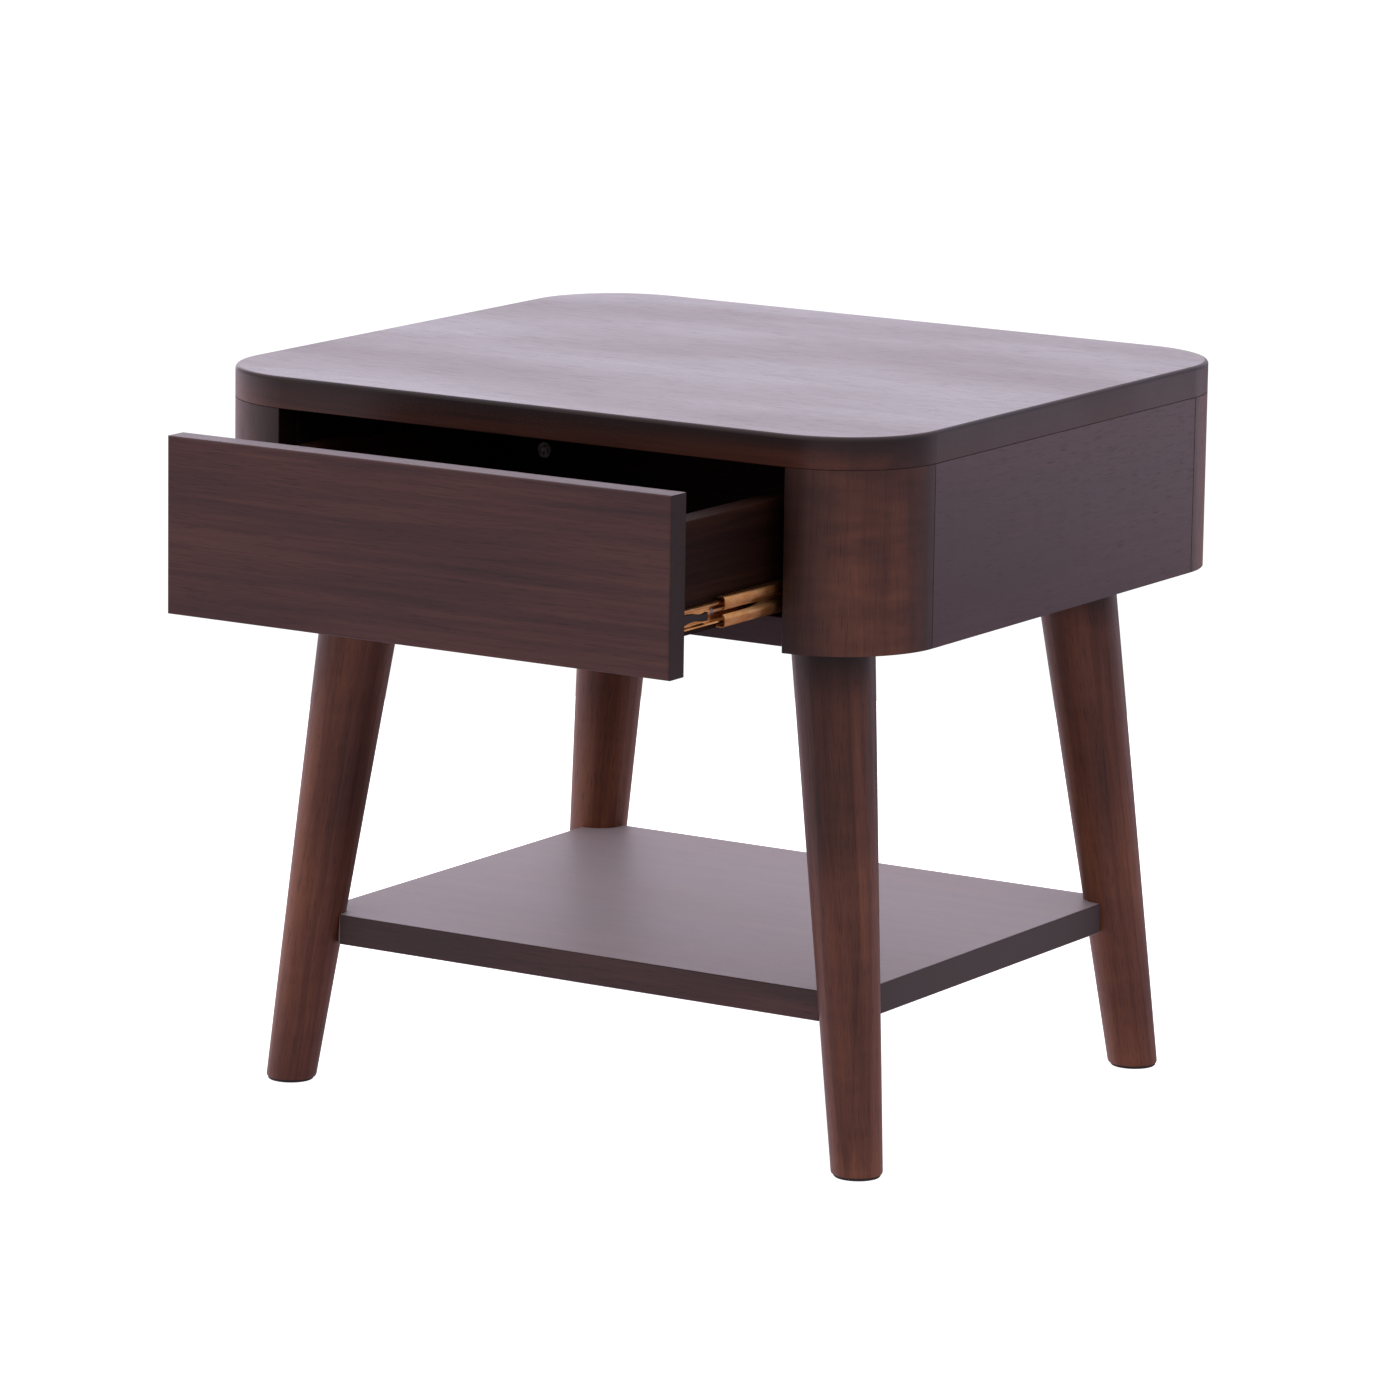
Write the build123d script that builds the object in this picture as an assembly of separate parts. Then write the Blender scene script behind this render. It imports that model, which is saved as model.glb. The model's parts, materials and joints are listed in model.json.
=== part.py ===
"""Side table with one drawer and a low shelf, in millimetres.

X runs to the right, Y to the back and Z up. The origin is on the floor, under the middle of the top.
The drawer is drawn standing open by DRAWER_OPEN, and its slide members stand where that takes them.
"""
import os

from build123d import *

# ---------------------------------------------------------------- driving dimensions
WIDTH = 600.0
DEPTH = 548.0
HEIGHT = 555.0
CORNER_R = 80.0
SLAB_T = 24.0
SLAB_ARRIS = 3.0

CASE_BOTTOM = 396.0
WALL_T = 20.0
BLOCK_FACE = 79.0          # how much of each face a corner block takes
SEAM_CHAMFER = 0.5
BOTTOM_T = 22.0
RAIL_SETBACK = 21.0
RAIL_T = 20.0

DRAWER_OPEN = 145.0
FRONT_HALF_W = 217.6
FRONT_BOTTOM = 397.5
FRONT_TOP = 529.5
FRONT_T = 20.0
FRONT_ARRIS = 1.6
BOX_HALF_W = 206.3
BOX_SIDE_T = 18.0
BOX_BOTTOM = 423.0
BOX_TOP = 505.0
BOX_BACK_INNER = 0.0       # where the drawer back's inner face is with the drawer open
BOX_BACK_T = 14.0
PLY_T = 5.0
PLY_BOTTOM = 431.0
GROOVE_D = 6.0
GROOVE_PLAY = 0.1
PLY_IN_GROOVE = 5.5

SLIDE_GAP = 13.0           # from the drawer side to the divider
SLIDE_LENGTH = 400.0
SLIDE_Z = 435.5
SLIDE_FRONT = -250.0       # all three members' front ends with the drawer shut
MIDDLE_RATIO = 0.65        # how far the middle member moves for the drawer's travel
SHEET_T = 1.2
OUTER_HALF_H = 15.0
MIDDLE_HALF_H = 11.25
INNER_HALF_H = 7.65
CAGE_LENGTH = 150.0
CAGE_FRONT = -150.0        # the ball cages' front ends with the drawer shut
BALLS_IN_ROW = 8

LEG_TOP_X, LEG_TOP_Y, LEG_TOP_R = 206.4, 178.7, 31.1
LEG_FOOT_X, LEG_FOOT_Y, LEG_FOOT_R = 253.8, 208.5, 19.1
GLIDE_T = 2.0
GLIDE_R = 17.5
GLIDE_EDGE, LEG_EDGE = 0.6, 0.9
GLIDE_NAIL_R, GLIDE_NAIL_LENGTH, GLIDE_NAIL_SUNK = 1.2, 18.0, 0.8

SHELF_HALF_X = 239.6
SHELF_HALF_Y = 201.4
SHELF_BOTTOM = 109.0
SHELF_T = 23.0
SHELF_CLIP = 26.0

DIVIDER_T = 18.0
BATTEN = 25.0
CLEARANCE = 0.05           # between a dowel, bolt or screw and its hole, on the radius

# ---------------------------------------------------------------- worked-out places
HALF_W = WIDTH / 2
HALF_D = DEPTH / 2
SLAB_BOTTOM = HEIGHT - SLAB_T
BLOCK_X = HALF_W - BLOCK_FACE
BLOCK_Y = HALF_D - BLOCK_FACE
BOARD_TOP = CASE_BOTTOM + BOTTOM_T
RAIL_FRONT = -HALF_D + RAIL_SETBACK
FRONT_FACE = -HALF_D - DRAWER_OPEN
FRONT_BACK = FRONT_FACE + FRONT_T
BOX_INNER = BOX_HALF_W - BOX_SIDE_T
BOX_END = BOX_BACK_INNER + BOX_BACK_T
DIVIDER_X = BOX_HALF_W + SLIDE_GAP
DIVIDER_HALF_Y = HALF_D - WALL_T - 3.0    # stops short of the round backs of the corner blocks
SIDES = {"left": -1, "right": 1}
ENDS = {"front": -1, "back": 1}

os.makedirs("parts", exist_ok=True)


def save(name, shape):
    """Write one piece, or one group of like pieces, as parts/NAME.step."""
    export_step(shape, f"parts/{name}.step")


def brick(x, y, z):
    """A box from three (low, high) pairs."""
    size = [high - low for low, high in (x, y, z)]
    middle = [(high + low) / 2 for low, high in (x, y, z)]
    return Pos(*middle) * Box(*size)


def span(a, b):
    """Two numbers in rising order, for a box on either side of the middle."""
    return (min(a, b), max(a, b))


def rod(start, end, radius):
    """A round rod between two points."""
    start, end = Vector(*start), Vector(*end)
    along = end - start
    place = Plane(origin=(start + end) / 2, z_dir=along)
    return place * Cylinder(radius, along.length)


def group(solids):
    """Like pieces that are kept apart but share a name."""
    return Compound(children=list(solids))


def rounded_plate(half_x, half_y, radius, bottom, top):
    """A plate with four quarter-round corners."""
    outline = RectangleRounded(2 * half_x, 2 * half_y, radius)
    return Pos(0, 0, bottom) * extrude(outline, top - bottom)


# ---------------------------------------------------------------- fixings, placed once and used as holes too
CASE_DOWEL_R, CASE_DOWEL_HALF = 4.0, 16.0
CASE_DOWEL_HEIGHTS = (CASE_BOTTOM + 30, SLAB_BOTTOM - 30)
SHELF_DOWEL_R, SHELF_DOWEL_START, SHELF_DOWEL_LENGTH = 5.0, 4.0, 50.0
LEG_BOLT_R, LEG_BOLT_IN_LEG = 4.0, 42.0
INSERT_R = 7.0
SCREW_R, SCREW_HEAD_R, SCREW_HEAD_H = 2.0, 4.0, 2.4


def case_dowel_ends():
    """Both end points of each dowel between a corner block and its neighbour."""
    x_wall = HALF_W - WALL_T / 2
    y_wall = HALF_D - WALL_T / 2
    for z in CASE_DOWEL_HEIGHTS:
        for sx in SIDES.values():
            for sy in ENDS.values():
                yield (
                    (sx * x_wall, sy * (BLOCK_Y - CASE_DOWEL_HALF), z),
                    (sx * x_wall, sy * (BLOCK_Y + CASE_DOWEL_HALF), z),
                )
            yield (
                (sx * (BLOCK_X - CASE_DOWEL_HALF), y_wall, z),
                (sx * (BLOCK_X + CASE_DOWEL_HALF), y_wall, z),
            )


def case_dowels(extra=0.0):
    return [rod(a, b, CASE_DOWEL_R + extra) for a, b in case_dowel_ends()]


def leg_axis(sx, sy):
    """The leg's middle at the floor, and the unit vector up along it."""
    foot = Vector(sx * LEG_FOOT_X, sy * LEG_FOOT_Y, 0)
    top = Vector(sx * LEG_TOP_X, sy * LEG_TOP_Y, CASE_BOTTOM)
    return foot, (top - foot).normalized()


def on_leg(sx, sy, z):
    """The point of the leg's middle line at height z."""
    foot, up = leg_axis(sx, sy)
    return foot + up * (z / up.Z)


def leg_radius(z):
    return LEG_FOOT_R + (LEG_TOP_R - LEG_FOOT_R) * z / CASE_BOTTOM


def leg_cone(sx, sy, extra=0.0):
    """The leg's taper, run on past both of its ends."""
    run_on = 60.0
    up = leg_axis(sx, sy)[1]
    low = on_leg(sx, sy, -run_on)
    high = on_leg(sx, sy, CASE_BOTTOM + run_on)
    length = (high - low).length
    place = Plane(origin=(low + high) / 2, z_dir=up)
    return place * Cone(leg_radius(-run_on) + extra, leg_radius(CASE_BOTTOM + run_on) + extra, length)


def leg_bolt(sx, sy, extra=0.0):
    up = leg_axis(sx, sy)[1]
    bottom = on_leg(sx, sy, CASE_BOTTOM) - up * LEG_BOLT_IN_LEG
    top = on_leg(sx, sy, BOARD_TOP - 1)
    return rod(bottom, top, LEG_BOLT_R + extra)


def insert_body(sx, sy, extra=0.0):
    bottom = on_leg(sx, sy, CASE_BOTTOM + 4)
    top = on_leg(sx, sy, BOARD_TOP - 2)
    return rod(bottom, top, INSERT_R + extra)


def shelf_dowel(sx, sy, extra=0.0):
    """A dowel from inside the leg into the shelf's corner, at 45 degrees in plan."""
    z = SHELF_BOTTOM + SHELF_T / 2
    middle = on_leg(sx, sy, z)
    inwards = Vector(-sx, -sy, 0).normalized()
    start = middle + inwards * SHELF_DOWEL_START
    return rod(start, start + inwards * SHELF_DOWEL_LENGTH, SHELF_DOWEL_R + extra)


def countersunk_screw(head, tip, radius=SCREW_R, head_r=SCREW_HEAD_R, head_h=SCREW_HEAD_H, extra=0.0):
    """A screw whose flat head is at `head` and whose point is at `tip`."""
    head, tip = Vector(*head), Vector(*tip)
    into = (tip - head).normalized()
    length = (tip - head).length
    place = Plane(origin=head, z_dir=into)
    cone = place * Pos(0, 0, head_h / 2) * Cone(head_r + extra, radius + extra, head_h)
    shank = place * Pos(0, 0, length / 2) * Cylinder(radius + extra, length)
    return cone + shank


def cross_slot(head, into, size=4.4, width=0.9, depth=1.1):
    """The cross-shaped recess in a screw head."""
    place = Plane(origin=Vector(*head), z_dir=Vector(*into))
    bars = Box(size, width, 2 * depth) + Box(width, size, 2 * depth)
    return place * bars


def top_screw_points():
    """Screws up through each batten into the slab."""
    x = DIVIDER_X + DIVIDER_T + BATTEN / 2
    for sx in SIDES.values():
        for y in (-150, 0, 150):
            yield (sx * x, y, SLAB_BOTTOM - BATTEN), (sx * x, y, SLAB_BOTTOM + 14)


def divider_screw_points():
    """Screws up through the bottom board into each divider."""
    x = DIVIDER_X + DIVIDER_T / 2
    for sx in SIDES.values():
        for y in (-110, 20, 110):
            yield (sx * x, y, CASE_BOTTOM), (sx * x, y, CASE_BOTTOM + 50)


def screws(points, extra=0.0):
    made = []
    for head, tip in points:
        screw = countersunk_screw(head, tip, extra=extra)
        if not extra:
            screw -= cross_slot(head, Vector(*tip) - Vector(*head))
        made.append(screw)
    return made


# ---------------------------------------------------------------- the case
def top_slab():
    slab = rounded_plate(HALF_W, HALF_D, CORNER_R, SLAB_BOTTOM, HEIGHT)
    slab = fillet(slab.faces().sort_by(Axis.Z)[-1].edges(), SLAB_ARRIS)
    slab = chamfer(slab.faces().sort_by(Axis.Z)[0].edges(), SEAM_CHAMFER)
    return slab - screws(top_screw_points(), CLEARANCE)


def corner_block(sx, sy):
    """A quarter-round block as thick as the walls, cut square where it meets its neighbours."""
    ring = rounded_plate(HALF_W, HALF_D, CORNER_R, CASE_BOTTOM, SLAB_BOTTOM)
    ring -= rounded_plate(HALF_W - WALL_T, HALF_D - WALL_T, CORNER_R - WALL_T, CASE_BOTTOM, SLAB_BOTTOM)
    corner = ring & brick(
        span(sx * BLOCK_X, sx * (HALF_W + 1)),
        span(sy * BLOCK_Y, sy * (HALF_D + 1)),
        (CASE_BOTTOM, SLAB_BOTTOM),
    )
    outer = [
        e for e in corner.edges().filter_by(Axis.Z)
        if abs(abs(e.center().X) - HALF_W) < 0.1 or abs(abs(e.center().Y) - HALF_D) < 0.1
    ]
    corner = chamfer(outer, SEAM_CHAMFER)
    return corner - case_dowels(CLEARANCE)


def side_panel(sx):
    panel = brick(span(sx * (HALF_W - WALL_T), sx * HALF_W), (-BLOCK_Y, BLOCK_Y), (CASE_BOTTOM, SLAB_BOTTOM))
    outer = [e for e in panel.edges().filter_by(Axis.Z) if abs(abs(e.center().X) - HALF_W) < 0.1]
    panel = chamfer(outer, SEAM_CHAMFER)
    return panel - case_dowels(CLEARANCE)


def back_panel():
    panel = brick((-BLOCK_X, BLOCK_X), (HALF_D - WALL_T, HALF_D), (CASE_BOTTOM, SLAB_BOTTOM))
    outer = [e for e in panel.edges().filter_by(Axis.Z) if abs(e.center().Y - HALF_D) < 0.1]
    panel = chamfer(outer, SEAM_CHAMFER)
    return panel - case_dowels(CLEARANCE)


def bottom_board():
    """The board that closes the case and takes the legs, with a notch for the front rail."""
    board = rounded_plate(HALF_W - WALL_T, HALF_D - WALL_T, CORNER_R - WALL_T, CASE_BOTTOM, BOARD_TOP)
    board -= brick((-BLOCK_X, BLOCK_X), (-HALF_D, RAIL_FRONT + RAIL_T), (CASE_BOTTOM, BOARD_TOP))
    for sx in SIDES.values():
        for sy in ENDS.values():
            board -= leg_bolt(sx, sy, CLEARANCE)
            board -= insert_body(sx, sy, CLEARANCE)
    return board - screws(divider_screw_points(), CLEARANCE)


def front_rail():
    rail = brick((-BLOCK_X, BLOCK_X), (RAIL_FRONT, RAIL_FRONT + RAIL_T), (CASE_BOTTOM, BOARD_TOP))
    front_edges = [e for e in rail.edges().filter_by(Axis.X) if abs(e.center().Y - RAIL_FRONT) < 0.1]
    return fillet(front_edges, 1.0)


def divider(sx):
    """The upright panel that carries one drawer slide."""
    panel = brick(
        span(sx * DIVIDER_X, sx * (DIVIDER_X + DIVIDER_T)),
        (-DIVIDER_HALF_Y, DIVIDER_HALF_Y),
        (BOARD_TOP, SLAB_BOTTOM),
    )
    panel -= screws(divider_screw_points(), CLEARANCE)
    return panel - cabinet_screws(sx, CLEARANCE)


def top_batten(sx):
    x = DIVIDER_X + DIVIDER_T
    batten = brick(span(sx * x, sx * (x + BATTEN)), (-185, 185), (SLAB_BOTTOM - BATTEN, SLAB_BOTTOM))
    return batten - screws(top_screw_points(), CLEARANCE)


# ---------------------------------------------------------------- legs and shelf
def leg(sx, sy):
    """A round leg that tapers and splays, cut level at both ends."""
    turned = leg_cone(sx, sy) & brick((-400, 400), (-400, 400), (GLIDE_T, CASE_BOTTOM))
    turned = chamfer(turned.faces().sort_by(Axis.Z)[0].edges(), LEG_EDGE)
    turned -= leg_bolt(sx, sy, CLEARANCE)
    turned -= shelf_dowel(sx, sy, CLEARANCE)
    return turned - glide_nail(sx, sy, CLEARANCE)


def glide_nail(sx, sy, extra=0.0):
    foot = on_leg(sx, sy, 0)
    head = (foot.X, foot.Y, GLIDE_T - GLIDE_NAIL_SUNK)
    point = (foot.X, foot.Y, GLIDE_T + GLIDE_NAIL_LENGTH)
    return rod(head, point, GLIDE_NAIL_R + extra)


def foot_glide(sx, sy):
    foot = on_leg(sx, sy, 0)
    disc = Pos(foot.X, foot.Y, GLIDE_T / 2) * Cylinder(GLIDE_R, GLIDE_T)
    disc = chamfer(disc.faces().sort_by(Axis.Z)[0].edges(), GLIDE_EDGE)
    return disc - glide_nail(sx, sy, CLEARANCE)


def shelf():
    """The shelf, its corners cut off at 45 degrees and hollowed to fit the legs."""
    x, y, c = SHELF_HALF_X, SHELF_HALF_Y, SHELF_CLIP
    outline = make_face(Polyline(
        (x - c, -y), (x, c - y), (x, y - c), (x - c, y),
        (c - x, y), (-x, y - c), (-x, c - y), (c - x, -y),
        close=True,
    ))
    board = Pos(0, 0, SHELF_BOTTOM) * extrude(outline, SHELF_T)
    board = fillet(board.faces().sort_by(Axis.Z)[-1].edges(), 1.0)
    board = chamfer(board.faces().sort_by(Axis.Z)[0].edges(), 0.6)
    for sx in SIDES.values():
        for sy in ENDS.values():
            board -= leg_cone(sx, sy, CLEARANCE)
            board -= shelf_dowel(sx, sy, CLEARANCE)
    return board


# ---------------------------------------------------------------- drawer fixings
DRAWER_DOWEL_R = 4.0
DRAWER_DOWEL_SHORT, DRAWER_DOWEL_LONG = 12.0, 18.0
DRAWER_DOWEL_HEIGHTS = (445.0, 493.0)
CAM_R, CAM_DEPTH, CAM_SETBACK, CAM_Z = 6.0, 9.0, 24.0, 470.0
CAM_BOLT_R = 2.5


def drawer_dowels(extra=0.0):
    """Dowels from the sides into the front and from the back into the sides."""
    made = []
    side_mid = BOX_HALF_W - BOX_SIDE_T / 2
    back_mid = BOX_BACK_INNER + BOX_BACK_T / 2
    for sx in SIDES.values():
        for z in DRAWER_DOWEL_HEIGHTS:
            in_front = (sx * side_mid, FRONT_BACK - DRAWER_DOWEL_SHORT, z)
            in_side = (sx * side_mid, FRONT_BACK + DRAWER_DOWEL_LONG, z)
            made.append(rod(in_front, in_side, DRAWER_DOWEL_R + extra))
            in_back = (sx * (BOX_INNER - DRAWER_DOWEL_LONG), back_mid, z)
            across = (sx * (BOX_INNER + DRAWER_DOWEL_SHORT), back_mid, z)
            made.append(rod(in_back, across, DRAWER_DOWEL_R + extra))
    return made


def cam_places():
    """Each cam's mouth, the way into the wood, and its bolt's far end."""
    for sx in SIDES.values():
        back_mouth = (sx * (BOX_INNER - CAM_SETBACK), BOX_BACK_INNER, CAM_Z)
        back_bolt = (sx * (BOX_INNER + 12), BOX_BACK_INNER + BOX_BACK_T / 2, CAM_Z)
        yield back_mouth, (0, 1, 0), back_bolt
        side_mouth = (sx * BOX_INNER, FRONT_BACK + CAM_SETBACK, CAM_Z)
        side_bolt = (sx * (BOX_INNER + BOX_SIDE_T / 2 - 2), FRONT_BACK - 12, CAM_Z)
        yield side_mouth, (sx, 0, 0), side_bolt


def cam(mouth, into, extra=0.0):
    place = Plane(origin=mouth, z_dir=into)
    return place * Pos(0, 0, CAM_DEPTH / 2) * Cylinder(CAM_R + extra, CAM_DEPTH)


def cam_bolt(mouth, into, far_end, extra=0.0):
    """The bolt runs from beside the cam to its far end, square to the cam's axis."""
    far = Vector(*far_end)
    middle = Vector(*mouth)
    depth = (far - middle).dot(Vector(*into))
    near = middle + Vector(*into) * depth
    along = (far - near).normalized()
    return rod(near + along * (CAM_R + CLEARANCE), far, CAM_BOLT_R + extra)


def cam_holes():
    cut = [cam(m, i, CLEARANCE) for m, i, _ in cam_places()]
    return cut + [cam_bolt(m, i, f, CLEARANCE) for m, i, f in cam_places()]


# ---------------------------------------------------------------- the drawer
def ply_panel(grow=0.0):
    reach = PLY_IN_GROOVE if not grow else GROOVE_D
    return brick(
        (-BOX_INNER - reach, BOX_INNER + reach),
        (FRONT_BACK - reach, BOX_BACK_INNER + reach),
        (PLY_BOTTOM - grow, PLY_BOTTOM + PLY_T + grow),
    )


def drawer_front():
    front = brick((-FRONT_HALF_W, FRONT_HALF_W), (FRONT_FACE, FRONT_BACK), (FRONT_BOTTOM, FRONT_TOP))
    front = fillet(front.faces().sort_by(Axis.Y)[0].edges(), FRONT_ARRIS)
    front = chamfer(front.faces().sort_by(Axis.Y)[-1].edges(), SEAM_CHAMFER)
    return front - drawer_dowels(CLEARANCE) - cam_holes() - ply_panel(GROOVE_PLAY)


def drawer_side(sx):
    side = brick(span(sx * BOX_INNER, sx * BOX_HALF_W), (FRONT_BACK, BOX_END), (BOX_BOTTOM, BOX_TOP))
    top_edges = [e for e in side.edges().filter_by(Axis.Y) if abs(e.center().Z - BOX_TOP) < 0.1]
    side = fillet(top_edges, 1.2)
    side = side - drawer_dowels(CLEARANCE) - cam_holes() - ply_panel(GROOVE_PLAY)
    return side - drawer_member_screws(sx, CLEARANCE)


def drawer_back():
    back = brick((-BOX_INNER, BOX_INNER), (BOX_BACK_INNER, BOX_END), (BOX_BOTTOM, BOX_TOP))
    top_edges = [e for e in back.edges().filter_by(Axis.X) if abs(e.center().Z - BOX_TOP) < 0.1]
    back = fillet(top_edges, 1.2)
    return back - drawer_dowels(CLEARANCE) - cam_holes() - ply_panel(GROOVE_PLAY)


# ---------------------------------------------------------------- the telescopic slides
# A section is drawn as (u, v): u from the drawer side out to the divider, v up from the slide's middle.
OUTER_FLANGE_TIP = 3.6
MIDDLE_FLANGE_TIP = 2.2
MIDDLE_WEB = 10.0
MIDDLE_VALLEY = 8.0
INNER_FLANGE_TIP = 7.2
OUTER_BALL_R, OUTER_BALL_U = 1.05, 6.6
INNER_BALL_R, INNER_BALL_U = 1.0, 4.6
BEND = 1.2


def sheet_section(points):
    """The outline of folded sheet SHEET_T thick whose middle line runs through the points."""
    points = [Vector(u, v) for u, v in points]
    runs = [(b - a).normalized() for a, b in zip(points, points[1:])]
    normals = [Vector(-r.Y, r.X) for r in runs]
    shifts = [normals[0]]
    for n1, n2 in zip(normals, normals[1:]):
        shifts.append((n1 + n2) / (1 + n1.dot(n2)))
    shifts.append(normals[-1])
    half = SHEET_T / 2
    one_side = [p + s * half for p, s in zip(points, shifts)]
    other_side = [p - s * half for p, s in zip(points, shifts)]
    return [(p.X, p.Y) for p in one_side + other_side[::-1]]


def mirrored(points):
    """A middle line drawn for its upper half, completed below."""
    return points + [(u, -v) for u, v in reversed(points)]


def slide_member(sx, section, front, length=SLIDE_LENGTH):
    """A section run along Y, on the left or the right side."""
    outline = [(sx * (BOX_HALF_W + u), SLIDE_Z + v) for u, v in section]
    plane = Plane(origin=(0, front, 0), x_dir=(1, 0, 0), z_dir=(0, -1, 0))
    return extrude(plane * make_face(Polyline(*outline, close=True)), -length)


def outer_section():
    flange = OUTER_HALF_H - SHEET_T / 2
    web = SLIDE_GAP - SHEET_T / 2
    return sheet_section(mirrored([
        (OUTER_FLANGE_TIP, flange - 1.0), (OUTER_FLANGE_TIP + 0.8, flange),
        (web - BEND, flange), (web, flange - BEND),
    ]))


def middle_section():
    flange = MIDDLE_HALF_H - SHEET_T / 2
    return sheet_section(mirrored([
        (MIDDLE_FLANGE_TIP, flange), (MIDDLE_WEB - BEND, flange), (MIDDLE_WEB, flange - BEND),
        (MIDDLE_WEB, 3.6), (MIDDLE_VALLEY, 2.0),
    ]))


def inner_section():
    flange = INNER_HALF_H - SHEET_T / 2
    web = SHEET_T / 2
    return sheet_section(mirrored([(INNER_FLANGE_TIP, flange), (web + BEND, flange), (web, flange - BEND)]))


def middle_shift(position=DRAWER_OPEN):
    return MIDDLE_RATIO * position


def cage_shift(kind, position=DRAWER_OPEN):
    """A ball cage goes half as far as the two members it runs between, taken together."""
    if kind == "outer":
        return middle_shift(position) / 2
    return (middle_shift(position) + position) / 2


CABINET_SCREW_Y = (30.0, 190.0, 350.0)      # behind the member's front end
DRAWER_SCREW_Y = (46.0, 196.0, 356.0)
LOW_HEAD_R, LOW_HEAD_H, SLIDE_SCREW_R = 3.2, 0.9, 1.6


def low_head_screw(sx, web_u, y, depth, outwards, extra=0.0):
    """A flat-headed screw that stands LOW_HEAD_H proud of a member's web."""
    seat = BOX_HALF_W + web_u
    way = 1 if outwards else -1
    shank = rod((sx * seat, y, SLIDE_Z), (sx * (seat + way * depth), y, SLIDE_Z), SLIDE_SCREW_R + extra)
    if extra:
        return shank
    head = rod((sx * seat, y, SLIDE_Z), (sx * (seat - way * LOW_HEAD_H), y, SLIDE_Z), LOW_HEAD_R)
    slot = cross_slot((sx * (seat - way * LOW_HEAD_H), y, SLIDE_Z), (sx * way, 0, 0), 3.0, 0.6, 0.6)
    return head + shank - slot


def cabinet_screws(sx, extra=0.0):
    web = SLIDE_GAP - SHEET_T
    return [low_head_screw(sx, web, SLIDE_FRONT + y, 14.0, True, extra) for y in CABINET_SCREW_Y]


def drawer_member_screws(sx, extra=0.0):
    front = SLIDE_FRONT - DRAWER_OPEN
    return [low_head_screw(sx, SHEET_T, front + y, 10.0, False, extra) for y in DRAWER_SCREW_Y]


def slide_cabinet(sx):
    return slide_member(sx, outer_section(), SLIDE_FRONT) - cabinet_screws(sx, CLEARANCE)


def slide_middle(sx):
    member = slide_member(sx, middle_section(), SLIDE_FRONT - middle_shift())
    for y in (60.0, 200.0, 340.0):
        u = BOX_HALF_W + MIDDLE_VALLEY
        hole_y = SLIDE_FRONT - middle_shift() + y
        member -= rod((sx * (u - 3), hole_y, SLIDE_Z), (sx * (u + 3), hole_y, SLIDE_Z), 1.7)
    return member


def slide_drawer(sx):
    return slide_member(sx, inner_section(), SLIDE_FRONT - DRAWER_OPEN) - drawer_member_screws(sx, CLEARANCE)


def release_lever(sx):
    """The plastic catch inside the drawer member: a block with a long thin tongue that curves down."""
    front = SLIDE_FRONT - DRAWER_OPEN
    points = [
        (front + 1, -5.4), (front + 1, 1.5), (front + 14, 0.5), (front + 30, 4.6), (front + 38, 4.6),
        (front + 38, -1.5), (front + 28, -3.0), (front + 14, -5.4),
    ]
    outline = [(y, SLIDE_Z + v) for y, v in points]
    plane = Plane(origin=(0, 0, 0), x_dir=(0, 1, 0), z_dir=(1, 0, 0))
    low, high = span(sx * (BOX_HALF_W + SHEET_T), sx * (BOX_HALF_W + 4.6))
    lever = extrude(Pos(low, 0, 0) * (plane * make_face(Polyline(*outline, close=True))), high - low)
    return fillet(lever.edges().filter_by(Axis.X), 0.8)


def ball_row(kind):
    """Where a cage's balls run: the ball's radius, u and v."""
    if kind == "outer":
        v = (MIDDLE_HALF_H + OUTER_HALF_H - SHEET_T) / 2
        return OUTER_BALL_R, OUTER_BALL_U, v
    v = (INNER_HALF_H + MIDDLE_HALF_H - SHEET_T) / 2
    return INNER_BALL_R, INNER_BALL_U, v


def ball_places(sx, kind):
    _, u, v = ball_row(kind)
    front = CAGE_FRONT - cage_shift(kind)
    pitch = CAGE_LENGTH / BALLS_IN_ROW
    for way in (-1, 1):
        for i in range(BALLS_IN_ROW):
            yield sx * (BOX_HALF_W + u), front + (i + 0.5) * pitch, SLIDE_Z + way * v


def balls(sx, kind):
    radius = ball_row(kind)[0]
    return group(Pos(*place) * Sphere(radius) for place in ball_places(sx, kind))


def ball_cage(sx, kind):
    """Two thin strips that hold the balls apart, one over and one under the inner member."""
    radius, u, v = ball_row(kind)
    front = CAGE_FRONT - cage_shift(kind)
    strips = []
    for way in (-1, 1):
        strip = brick(
            span(sx * (BOX_HALF_W + u - 2.0), sx * (BOX_HALF_W + u + 2.0)),
            (front, front + CAGE_LENGTH),
            (SLIDE_Z + way * v - 0.35, SLIDE_Z + way * v + 0.35),
        )
        for place in ball_places(sx, kind):
            strip -= Pos(*place) * Sphere(radius + CLEARANCE)
        strips.append(strip)
    return group(strips)


# ---------------------------------------------------------------- write every piece
save("top_slab", top_slab())
save("back_panel", back_panel())
save("bottom_board", bottom_board())
save("front_rail", front_rail())
save("shelf", shelf())
save("drawer_front", drawer_front())
save("drawer_back", drawer_back())
save("drawer_bottom", ply_panel())

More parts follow.
